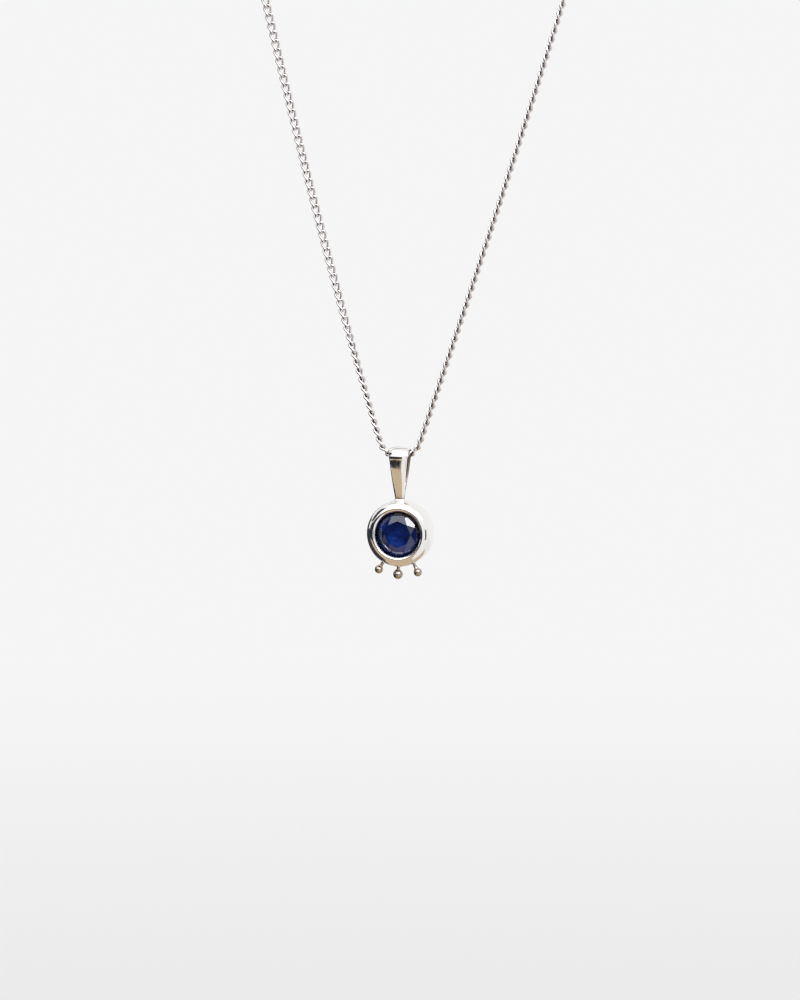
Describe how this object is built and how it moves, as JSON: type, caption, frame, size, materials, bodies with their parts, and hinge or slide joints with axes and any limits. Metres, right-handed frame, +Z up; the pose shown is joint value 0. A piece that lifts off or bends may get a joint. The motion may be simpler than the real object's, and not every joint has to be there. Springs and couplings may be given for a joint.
{
  "type": "pendant necklace",
  "caption": "Fine curb-chain necklace with a round blue stone in a plain bezel under a folded bail, with ball-ended wires below and a bolt-ring clasp.",
  "frame": {"origin": "centre of the neck opening, in the plane that the chain lies in round the nape", "axes": "+Z up along the neck, -Y the way the stone faces, +X to the right seen from the front"},
  "size_m": [0.0732, 0.0489, 0.1521],
  "materials": {
    "silver": "polished silver, lightly worn",
    "silver_chain": "polished silver",
    "sapphire": "faceted and polished",
    "spring_wire": "drawn wire"
  },
  "bodies": {
    "nape": {"nape_chain_left": "silver_chain", "nape_chain_right": "silver_chain"},
    "stretch_4": {"chain_left_4": "silver_chain", "chain_right_4": "silver_chain"},
    "stretch_3": {"chain_left_3": "silver_chain", "chain_right_3": "silver_chain"},
    "stretch_2": {"chain_left_2": "silver_chain", "chain_right_2": "silver_chain"},
    "stretch_1": {"chain_left_1": "silver_chain", "chain_right_1": "silver_chain"},
    "foot": {"chain_foot": "silver_chain"},
    "pendant": {"bail": "silver", "bezel_ring": "silver", "sapphire": "sapphire", "ball_wire_left": "silver", "ball_wire_centre": "silver", "ball_wire_right": "silver"},
    "jump_ring": {"jump_ring": "silver"},
    "end_ring": {"end_ring": "silver"},
    "clasp": {"clasp_tube": "silver", "clasp_eye": "silver", "clasp_spring": "spring_wire"},
    "bolt": {"clasp_bolt": "silver"}
  },
  "joints": [
    {"name": "shoulder_fold", "type": "hinge", "parent": "nape", "child": "stretch_4", "pos_m": [-0.00004, -0.01, -0.01412], "axis": [1, 0, 0.0018], "range_deg": [-30, 30]},
    {"name": "fold_4", "type": "hinge", "parent": "stretch_4", "child": "stretch_3", "pos_m": [-0.0006, -0.01, -0.04087], "axis": [1, 0, 0.0074], "range_deg": [-30, 30]},
    {"name": "fold_3", "type": "hinge", "parent": "stretch_3", "child": "stretch_2", "pos_m": [-0.00162, -0.01, -0.06799], "axis": [1, 0, -0.0039], "range_deg": [-30, 30]},
    {"name": "fold_2", "type": "hinge", "parent": "stretch_2", "child": "stretch_1", "pos_m": [-0.00271, -0.01, -0.09494], "axis": [0.9997, 0, -0.0238], "range_deg": [-30, 30]},
    {"name": "foot_fold", "type": "hinge", "parent": "stretch_1", "child": "foot", "pos_m": [-0.0035, -0.01, -0.12224], "axis": [0.9999, 0, -0.0128], "range_deg": [-30, 30]},
    {"name": "pendant_swing", "type": "hinge", "parent": "foot", "child": "pendant", "pos_m": [-0.0037, -0.01, -0.134], "axis": [1, 0, 0], "range_deg": [-110, 110]},
    {"name": "jump_ring_twist", "type": "hinge", "parent": "nape", "child": "jump_ring", "pos_m": [0.00079, 0.03578, 0], "axis": [1, 0, 0], "range_deg": [-10, 5]},
    {"name": "clasp_spin", "type": "hinge", "parent": "jump_ring", "child": "clasp", "pos_m": [0.00079, 0.03578, 0], "axis": [1, 0, 0], "range_deg": [-20, 20]},
    {"name": "end_ring_twist", "type": "hinge", "parent": "nape", "child": "end_ring", "pos_m": [0.00079, 0.03578, 0], "axis": [1, 0, 0], "range_deg": [-10, 10]},
    {"name": "bolt_slide", "type": "hinge", "parent": "clasp", "child": "bolt", "pos_m": [0.00079, 0.03578, 0], "axis": [0, -1, 0], "range_deg": [0, 50], "stiffness_Nm_per_rad": 0.0012, "deforming": ["clasp_spring"]}
  ]
}
